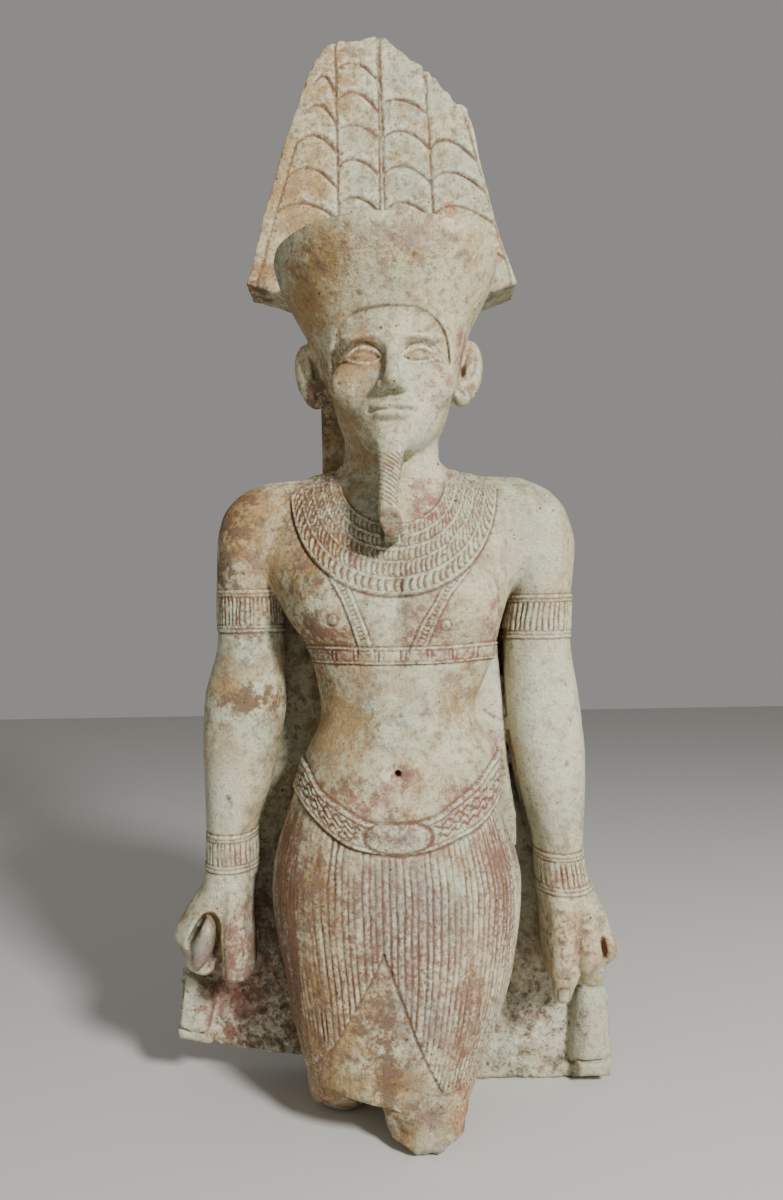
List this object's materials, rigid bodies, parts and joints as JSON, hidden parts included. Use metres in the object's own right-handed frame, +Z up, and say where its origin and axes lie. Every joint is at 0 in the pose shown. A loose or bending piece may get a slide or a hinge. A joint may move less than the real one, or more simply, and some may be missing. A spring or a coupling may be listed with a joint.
{
  "type": "carved stone statue of amun-ra",
  "caption": "Carved stone figure of Amun-Ra, broken off at the knees, with a flaring crown, two tall plumes and a back slab, standing by its own weight.",
  "frame": {"origin": "middle of the underside of the whole block, on the surface it stands on", "axes": "+Z up along the figure, the face looks along -Y, +X to the viewer's right"},
  "size_m": [0.2896, 0.146, 0.72],
  "materials": {
    "stone": "weathered stone that looks like limestone, dull, with brown patina and traces of red pigment"
  },
  "bodies": {
    "root": {"statue": "stone"}
  },
  "joints": []
}
